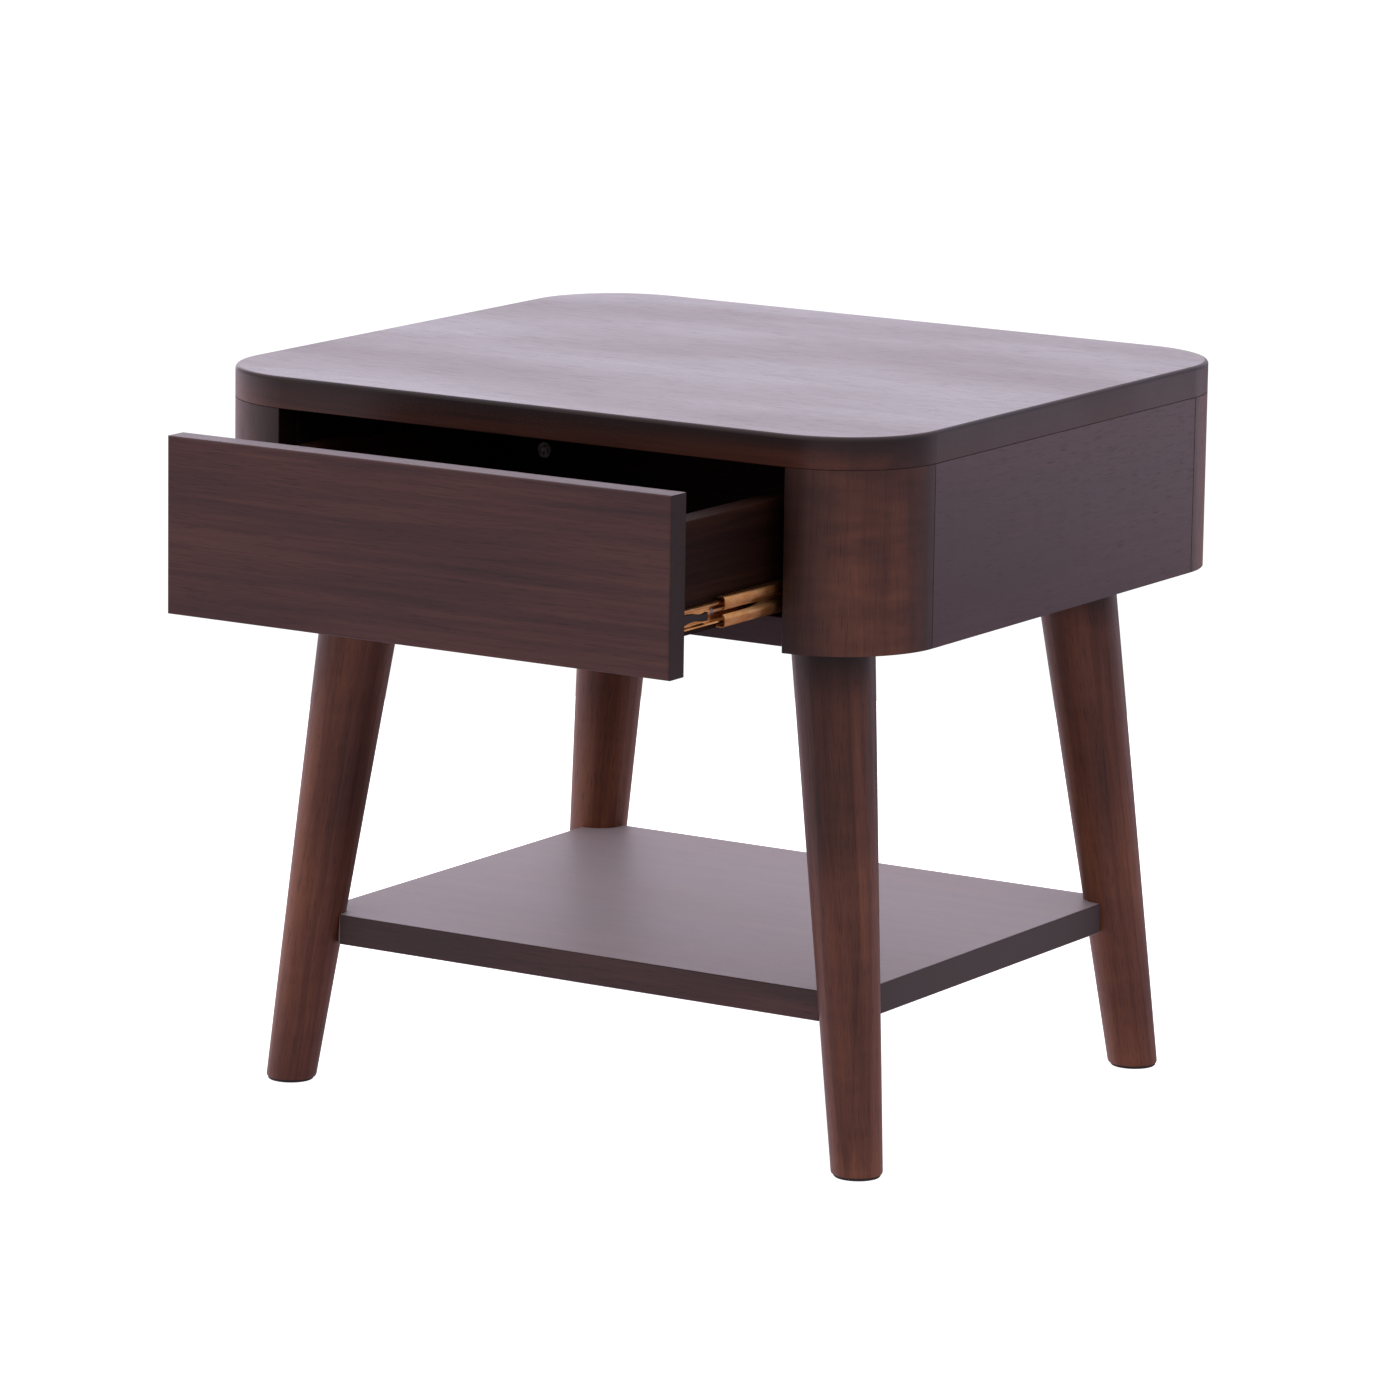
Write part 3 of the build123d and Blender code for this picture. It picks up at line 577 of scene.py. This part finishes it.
def ring(node_name, height):
    """The middle and radius of a model node's outline at a level."""
    points = [v.co for v in nodes[node_name].data.vertices if abs(v.co.z - height) < SAME_LEVEL]
    low = Vector((min(p.x for p in points), min(p.y for p in points), height))
    high = Vector((max(p.x for p in points), max(p.y for p in points), height))
    return (low + high) / 2, (high.x - low.x) / 2


def turn_leg(node_name, material):
    """The foot is cut level, so its radius is the reach of the leg's box past the foot's middle."""
    low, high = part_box(node_name)
    foot = ring(node_name, low.z)[0]
    top, top_r = ring(node_name, high.z)
    foot_r = max(abs(low.x), abs(high.x)) - abs(foot.x)
    leg = LEG_TREE.grow("turned_" + node_name, {
        "Foot": foot, "Top": top, "Foot Radius": foot_r, "Top Radius": top_r,
        "Edge Radius": LEG_EDGE, "Finish": material,
    })
    put_in(leg, node_name)


SCREW_SIDES, SHANK_RINGS, THREAD_STEPS = 28, 12, 14
THREAD_DEPTH = 0.20         # of the shank's radius
SLOT_WIDTH = 0.2            # of the recess's size
POINT_LENGTH = 2.2          # of the shank's radius
POINT_BLUNTNESS = 0.06      # of the core's radius
SEAT_OVERLAP = 0.9          # of the head's height, where the shank starts
BALL_DIVISIONS = 3


def screw_tree():
    """Cross-recessed screws on points: each has a head, a shank that ends in a point, and a thread."""
    g = NodeGroup("cross-recessed screws", (
        ("Points", GEOMETRY), ("Face Radius", NUMBER), ("Seat Radius", NUMBER), ("Head Height", NUMBER),
        ("Shank Radius", NUMBER), ("Length", NUMBER), ("Pitch", NUMBER), ("Recess", NUMBER),
        ("Finish", MATERIAL),
    ))
    head_height, shank, recess = g.given["Head Height"], g.given["Shank Radius"], g.given["Recess"]
    head = g.add("GeometryNodeMeshCone", {
        "Vertices": SCREW_SIDES, "Radius Bottom": g.given["Face Radius"],
        "Radius Top": g.given["Seat Radius"], "Depth": head_height,
    }).outputs["Mesh"]
    cut = g.add("GeometryNodeMeshBoolean", {"Mesh 1": head}, operation="DIFFERENCE", solver="EXACT")
    slot = g.math("MULTIPLY", recess, SLOT_WIDTH)
    for bar_size in (g.combine(recess, slot, head_height), g.combine(slot, recess, head_height)):
        bar = g.add("GeometryNodeMeshCube", {"Size": bar_size}).outputs["Mesh"]
        g.tree.links.new(bar, cut.inputs["Mesh 2"])

    core = g.math("MULTIPLY", shank, 1.0 - THREAD_DEPTH)
    point = g.math("MULTIPLY", shank, POINT_LENGTH)
    run = g.math("SUBTRACT", g.given["Length"], head_height)
    threaded = g.math("SUBTRACT", run, point)
    rod = g.add("GeometryNodeMeshCone", {
        "Vertices": SCREW_SIDES, "Side Segments": SHANK_RINGS, "Radius Bottom": core, "Radius Top": core,
        "Depth": 1.0,
    }).outputs["Mesh"]
    x, y, z = g.position()
    level = g.math("MULTIPLY", z, run)
    left = g.math("DIVIDE", g.math("SUBTRACT", run, level), point, clamp=True)
    narrowing = g.math("ADD", g.math("MULTIPLY", left, 1.0 - POINT_BLUNTNESS), POINT_BLUNTNESS)
    start = g.math("MULTIPLY", head_height, SEAT_OVERLAP)
    target = g.combine(
        g.math("MULTIPLY", x, narrowing), g.math("MULTIPLY", y, narrowing), g.math("ADD", level, start)
    )
    pointed = g.add("GeometryNodeSetPosition", {"Geometry": rod, "Position": target}).outputs[0]

    winding = g.add("GeometryNodeCurveSpiral", {
        "Resolution": THREAD_STEPS, "Rotations": g.math("DIVIDE", threaded, g.given["Pitch"]),
        "Start Radius": core, "End Radius": core, "Height": threaded,
    }).outputs[0]
    ridge_radius = g.math("MULTIPLY", shank, THREAD_DEPTH)
    ridge = g.add(
        "GeometryNodeCurvePrimitiveCircle", {"Resolution": 3, "Radius": ridge_radius}
    ).outputs["Curve"]
    thread = g.add(
        "GeometryNodeCurveToMesh", {"Curve": winding, "Profile Curve": ridge, "Fill Caps": True}
    ).outputs[0]
    seat = g.combine(z=head_height)
    seated = g.add("GeometryNodeTransform", {"Geometry": thread, "Translation": seat}).outputs[0]

    screw = g.add("GeometryNodeJoinGeometry")
    for piece in (cut.outputs["Mesh"], pointed, seated):
        g.tree.links.new(piece, screw.inputs[0])
    way = g.add("GeometryNodeInputNamedAttribute", {"Name": "way"}, data_type="FLOAT_VECTOR").outputs[0]
    turn = g.add("FunctionNodeAlignRotationToVector", {"Vector": way}, axis="Z").outputs[0]
    return g.close(g.add("GeometryNodeInstanceOnPoints", {
        "Points": g.given["Points"], "Instance": screw.outputs[0], "Rotation": turn,
    }).outputs[0])


def ball_tree():
    """Steel balls on points."""
    g = NodeGroup("bearing balls", (("Points", GEOMETRY), ("Radius", NUMBER), ("Finish", MATERIAL)))
    ball = g.add("GeometryNodeMeshIcoSphere", {"Radius": g.given["Radius"], "Subdivisions": BALL_DIVISIONS})
    return g.close(g.add(
        "GeometryNodeInstanceOnPoints", {"Points": g.given["Points"], "Instance": ball.outputs["Mesh"]}
    ).outputs[0])


SCREW_TREE = screw_tree()
BALL_TREE = ball_tree()
WELD = 0.000002
SLIDE_SCREW = {
    "Face Radius": 0.0026, "Seat Radius": 0.0032, "Head Height": 0.0009, "Shank Radius": 0.0016,
    "Pitch": 0.0014, "Recess": 0.0032,
}
COUNTERSUNK_SCREW = {
    "Face Radius": 0.0040, "Seat Radius": 0.0020, "Head Height": 0.0024, "Shank Radius": 0.0020,
    "Pitch": 0.0018, "Recess": 0.0044,
}


def loose_parts(node_name):
    """The corner points of each separate solid of a model node."""
    shape = bmesh.new()
    shape.from_mesh(nodes[node_name].data)
    bmesh.ops.remove_doubles(shape, verts=shape.verts, dist=WELD)
    seen, parts = set(), []
    for first in shape.verts:
        if first in seen:
            continue
        seen.add(first)
        reached = [first]
        for vertex in reached:
            near = [edge.other_vert(vertex) for edge in vertex.link_edges]
            fresh = [other for other in near if other not in seen]
            seen.update(fresh)
            reached += fresh
        parts.append([vertex.co.copy() for vertex in reached])
    shape.free()
    return parts


def extent(points):
    """The lowest and highest corners of some points."""
    low = Vector([min(p[i] for p in points) for i in range(3)])
    high = Vector([max(p[i] for p in points) for i in range(3)])
    return low, high


def marked_points(name, places, ways=()):
    """A mesh of loose points, with the way that each faces where they face any."""
    mesh = bpy.data.meshes.new(name + " points")
    mesh.from_pydata(places, [], [])
    if ways:
        attribute = mesh.attributes.new("way", "FLOAT_VECTOR", "POINT")
        attribute.data.foreach_set("vector", [number for way in ways for number in way])
    return mesh


def drive_screws(node_name, sizes):
    """Screws stand where the model's do, each with its head at the wide end."""
    places, ways, length = [], [], 0.0
    for points in loose_parts(node_name):
        low, high = extent(points)
        size, middle = high - low, (low + high) / 2
        along = max(range(3), key=lambda i: size[i])
        across = (along + 1) % 3
        low_width, high_width = (
            max(abs(p[across] - middle[across]) for p in points if abs(p[along] - end[along]) < SAME_LEVEL)
            for end in (low, high)
        )
        head_is_low = low_width > high_width
        place, way = middle.copy(), Vector((0, 0, 0))
        place[along] = low[along] if head_is_low else high[along]
        way[along] = 1.0 if head_is_low else -1.0
        places.append(place)
        ways.append(way)
        length = size[along]
    points = marked_points(node_name, places, ways)
    values = {**sizes, "Length": length, "Finish": bright_zinc}
    put_in(SCREW_TREE.grow("threaded_" + node_name, values, points), node_name)


def set_balls(node_name):
    """A ball stands where each of the model's does."""
    corners = [extent(points) for points in loose_parts(node_name)]
    points = marked_points(node_name, [(low + high) / 2 for low, high in corners])
    low, high = corners[0]
    values = {"Radius": (high.y - low.y) / 2, "Finish": bright_zinc}
    put_in(BALL_TREE.grow("rolling_" + node_name, values, points), node_name)


SHEET = 0.0012
BEND_STEPS = 5
BEND_REACH = 0.45           # of a run, at most
DEBURR, DEBURR_ABOVE = 0.00022, radians(60)
PUNCH_CLEAR = 0.001


def bent(points, bend):
    """An open line in the plane with its corners rounded to a bend radius."""
    points = [Vector(p) for p in points]
    line = [points[0]]
    for before, corner, after in zip(points, points[1:], points[2:]):
        arm_in, arm_out = before - corner, after - corner
        reach = min(bend, BEND_REACH * arm_in.length, BEND_REACH * arm_out.length)
        start, end = corner + arm_in.normalized() * reach, corner + arm_out.normalized() * reach
        for i in range(BEND_STEPS + 1):
            k = i / BEND_STEPS
            line.append(start * (1 - k) ** 2 + corner * 2 * k * (1 - k) + end * k ** 2)
    return line + [points[-1]]


def mesh_object(name, vertices, faces):
    """An object in the scene, made from lists of vertices and faces."""
    mesh = bpy.data.meshes.new(name)
    mesh.from_pydata(vertices, [], faces)
    obj = bpy.data.objects.new(name, mesh)
    bpy.context.scene.collection.objects.link(obj)
    return obj


def prism(outline, low, high):
    """Vertices and faces of a closed (y, z) outline run from x = low to x = high."""
    n = len(outline)
    vertices = [(x, y, z) for x in (low, high) for y, z in outline]
    faces = [tuple(range(n - 1, -1, -1)), tuple(range(n, 2 * n))]
    faces += [(i, (i + 1) % n, n + (i + 1) % n, n + i) for i in range(n)]
    return vertices, faces


def pill(y, z, half_length, half_height, steps=10):
    """A slot's outline with round ends, or a round hole where the two halves are equal."""
    reach = half_length - half_height
    outline = []
    for way in (1, -1):
        for i in range(steps + 1):
            a = pi * i / steps - pi / 2
            outline.append((y + way * (reach + half_height * cos(a)), z + way * half_height * sin(a)))
    return outline


def cut_away(obj, outlines, low, high):
    """Punches outlines through the piece between two x planes."""
    vertices, faces = [], []
    for outline in outlines:
        more, sides = prism(outline, low, high)
        faces += [tuple(len(vertices) + i for i in side) for side in sides]
        vertices += more
    punch = mesh_object("punch", vertices, faces)
    modifier = obj.modifiers.new("punch", "BOOLEAN")
    modifier.operation = "DIFFERENCE"
    modifier.solver = "EXACT"
    modifier.object = punch
    name = obj.name
    obj.name = name + " blank"
    done = settled(obj, name)
    bpy.data.objects.remove(punch)
    return done


def rolled_member(node_name, line, bend, outlines):
    """Rolled steel strip, run along Y. `line` is the section's upper half as (out from the drawer, up).

    `outlines(front, middle)` gives the holes, from the member's front end and the height of its middle.
    """
    low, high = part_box(node_name)
    way = 1 if low.x > 0 else -1
    middle_z = (low.z + high.z) / 2
    full = line + [(u, -v) for u, v in reversed(line)]
    section = bent(full, bend)
    vertices = [(way * p.x, y, middle_z + p.y) for y in (low.y, high.y) for p in section]
    n = len(section)
    faces = [(i, i + 1, n + i + 1, n + i)[::way] for i in range(n - 1)]
    strip = mesh_object(node_name + " strip", vertices, faces)
    wall = strip.modifiers.new("wall", "SOLIDIFY")
    wall.thickness = SHEET
    wall.offset = 0.0
    wall.use_even_offset = True
    wall.use_rim = True
    edge = strip.modifiers.new("deburred", "BEVEL")
    edge.width = DEBURR
    edge.segments = 2
    edge.limit_method = "ANGLE"
    edge.angle_limit = DEBURR_ABOVE
    member = settled(strip, "rolled_" + node_name)
    member = cut_away(member, outlines(low.y, middle_z), low.x - PUNCH_CLEAR, high.x + PUNCH_CLEAR)
    put_in(member, node_name, yellow_zinc)


def member_size(node_name):
    """How near to and far from the table's middle a member's section reaches, and half its height."""
    low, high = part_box(node_name)
    inner, outer = sorted((abs(low.x), abs(high.x)))
    return inner, outer, (high.z - low.z) / 2


HALF_SHEET = SHEET / 2


def cabinet_line(inner, outer, tall):
    """A deep channel open towards the drawer, a low rib along its web."""
    top, web = tall - HALF_SHEET, outer - HALF_SHEET
    return [
        (inner + HALF_SHEET, top - 0.0009), (inner + 0.0020, top), (web, top), (web, 0.0050),
        (web - 0.0009, 0.0036),
    ]


def middle_line(inner, outer, tall):
    """A channel whose web folds in to a deep groove along the middle."""
    top, web = tall - HALF_SHEET, outer - HALF_SHEET
    return [
        (inner + HALF_SHEET, top - 0.0007), (inner + 0.0022, top), (web - 0.0006, top), (web, tall - 0.0042),
        (web, 0.0042), (web - 0.0022, 0.0012),
    ]


def drawer_line(inner, outer, tall):
    """A shallow channel with its web on the drawer side, a low rib along it."""
    top, web = tall - HALF_SHEET, inner + HALF_SHEET
    return [
        (outer - HALF_SHEET, top - 0.0006), (outer - 0.0022, top), (web, top), (web, 0.0030),
        (web + 0.0008, 0.0016),
    ]


def cabinet_punches(front, middle):
    """Screw holes in pairs, long and round, down the fixed member."""
    slots = [pill(front + y, middle, 0.0060, 0.0022) for y in (0.056, 0.136, 0.232, 0.312)]
    holes = [pill(front + y, middle, 0.0026, 0.0026) for y in (0.080, 0.160, 0.256, 0.372)]
    return slots + holes


def middle_punches(front, middle):
    """The long open groove at the front, the latch window behind it, and round weight-saving holes."""
    half, tip = 0.0016, 0.0002
    before, narrows, end = front - 0.004, front + 0.030, front + 0.048
    groove = [
        (before, middle - half), (narrows, middle - half), (end, middle - tip),
        (end, middle + tip), (narrows, middle + half), (before, middle + half),
    ]
    window = pill(front + 0.098, middle, 0.0090, half)
    return [groove, window] + [pill(front + y, middle, half, half) for y in (0.160, 0.250, 0.340)]


def drawer_punches(front, middle):
    """Long and round screw holes."""
    slots = [pill(front + y, middle, 0.0055, 0.0022) for y in (0.090, 0.240, 0.320)]
    holes = [pill(front + y, middle, 0.0023, 0.0023) for y in (0.130, 0.280)]
    return slots + holes


MEMBERS = (
    ("cabinet", cabinet_line, 0.0024, cabinet_punches),
    ("middle", middle_line, 0.0030, middle_punches),
    ("drawer", drawer_line, 0.0016, drawer_punches),
)
LEVER_STEPS = 28
LEVER_EDGE, LEVER_EDGE_ABOVE = 0.0005, radians(50)
LEVER_CLEAR = 0.0001        # kept inside the model's lever on each flat side


def lever(node_name):
    """The release lever: a flat nose at the front, a waist, and a curved tongue to press."""
    low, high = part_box(node_name)
    length, tall = high.y - low.y, high.z - low.z
    upper, lower = [], []
    for i in range(LEVER_STEPS + 1):
        k = i / LEVER_STEPS
        middle = 0.50 + 0.16 * sin(2 * pi * k - 0.6) * k
        half = 0.22 + 0.20 * (1 - k) ** 2 + 0.10 * k ** 6
        y = low.y + length * (0.01 + 0.98 * k)
        upper.append((y, low.z + tall * min(middle + half, 0.99)))
        lower.append((y, low.z + tall * max(middle - half, 0.01)))
    vertices, faces = prism(upper + lower[::-1], low.x + LEVER_CLEAR, high.x - LEVER_CLEAR)
    body = mesh_object(node_name + " blank", vertices, [face[::-1] for face in faces])
    edge = body.modifiers.new("rounded", "BEVEL")
    edge.width = LEVER_EDGE
    edge.segments = 3
    edge.limit_method = "ANGLE"
    edge.angle_limit = LEVER_EDGE_ABOVE
    piece = settled(body, "moulded_" + node_name)
    put_in(piece, node_name, black_plastic)


yellow_zinc = metal("yellow zinc", srgb(222, 176, 118), srgb(196, 138, 78), 0.30)
bright_zinc = metal("bright zinc", srgb(196, 198, 202), srgb(160, 162, 168), 0.32)
cast_zinc = metal("cast zinc", srgb(232, 232, 236), srgb(196, 197, 203), 0.45, metallic=0.3)
black_plastic = moulded("black plastic", srgb(12, 12, 14), 0.45)
glide_plastic = moulded("glide plastic", srgb(34, 31, 30), 0.6)
beech = wood("beech dowels", BEECH, rings=0.2, shine=0.3, gloss=0.6, end_grain=0.3)

dress("top_slab", wood(
    "top boards", WALNUT_TOP, offset=(0.13, 0.31, 0.02), gloss=0.30, mottle=0.6, streaks=0.5, fine=0.2,
    relief=0.05, haze=0.12, end_matt=0.09, end_grain=0.75, shade=painted_shade_under_arris, edge_tones=WALNUT_UPRIGHT_TONES))
dress("back_panel", wood("back panel", WALNUT_FRONT, offset=(0.4, 0.9, 0.2), gloss=0.36))
dress("bottom_board", wood("bottom board", WALNUT_CASE, offset=(0.9, 0.2, 0.5), gloss=0.42))
dress("front_rail", wood("front rail", WALNUT_SIDE, offset=(0.2, 0.5, 0.9), gloss=0.4))
dress("shelf", wood(
    "shelf boards", WALNUT_SHELF, offset=(0.7, 0.1, 0.3), gloss=0.47, shine=0.6, mottle=1.0, relief=0.08,
    dust=1.0))
dress("drawer_front", wood(
    "drawer front", WALNUT_FRONT, offset=(0.35, 0.02, 0.64), gloss=0.40, pith=-0.55, streaks=0.8, fine=0.5,
    rings=0.5, ring_pitch=0.016, closeness=95.0))
dress("drawer_back", wood("drawer back", DRAWER_WOOD, offset=(0.8, 0.5, 0.1), gloss=0.55, shine=0.25))
dress("drawer_bottom", wood("drawer bottom", PLYWOOD, offset=(0.1, 0.7, 0.4), gloss=0.5, shine=0.3))
for i, side in enumerate(SIDES):
    dress(f"side_panel_{side}", wood(
        f"side panel {side}", WALNUT_SIDE, ALONG_Y, (0.6 + i, 0.3, 0.8), gloss=0.33, mottle=0.8, streaks=0.45,
        fine=0.3))
    dress(f"slide_divider_{side}", wood(
        f"divider {side}", INNER_WOOD, ALONG_Y, (0.3 + i, 0.6, 0.1), gloss=0.6, shine=0.2))
    dress(f"top_batten_{side}", wood(
        f"batten {side}", INNER_WOOD, ALONG_Y, (0.5 + i, 0.2, 0.7), gloss=0.6, shine=0.2))
    dress(f"drawer_side_{side}", wood(
        f"drawer side {side}", DRAWER_WOOD, ALONG_Y, (0.2 + i, 0.4, 0.6), gloss=0.55, shine=0.1))
    for j, end in enumerate(ENDS):
        block = f"corner_block_{end}_{side}"
        low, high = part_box(block)
        # The block's painted shade, deepest by the drawer opening and by the seam with a panel.
        stain = painted_block_shade(min(abs(low.x), abs(high.x)), min(abs(low.y), abs(high.y)))
        dress(block, wood(
            f"corner block {end} {side}", WALNUT_CASE, ALONG_Z, (0.7 + i, 0.1 + j, 0.45), gloss=0.36,
            mottle=1.1, curl=0.5, streaks=0.4, fine=0.15, shade=stain))
        turn_leg(f"leg_{end}_{side}", wood(
            f"leg {end} {side}", WALNUT_LEG, ALONG_Z, (0.4 + i, 0.8 + j, 0.25), gloss=0.38, shine=0.42,
            rings=0.5, ring_pitch=0.0085, pith=0.012, streaks=0.5, fine=0.3, mottle=1.0, curl=0.12,
            follow="place", shade=painted_leg_shade))
        dress(f"foot_glide_{end}_{side}", glide_plastic)
for name in nodes:
    if "cage" in name:
        dress(name, yellow_zinc)
    elif name == "drawer_cams":
        dress(name, cast_zinc)
    elif "dowels" in name:
        dress(name, beech)
    elif "balls" in name:
        set_balls(name)
    elif "slide_screws" in name:
        drive_screws(name, SLIDE_SCREW)
    elif "screws" in name:
        drive_screws(name, COUNTERSUNK_SCREW)
    elif any(word in name for word in ("bolts", "inserts", "nails")):
        dress(name, bright_zinc)


for side in SIDES:
    for kind, line, bend, punches in MEMBERS:
        member = f"slide_{kind}_member_{side}"
        rolled_member(member, line(*member_size(member)), bend, punches)
    lever(f"release_lever_{side}")
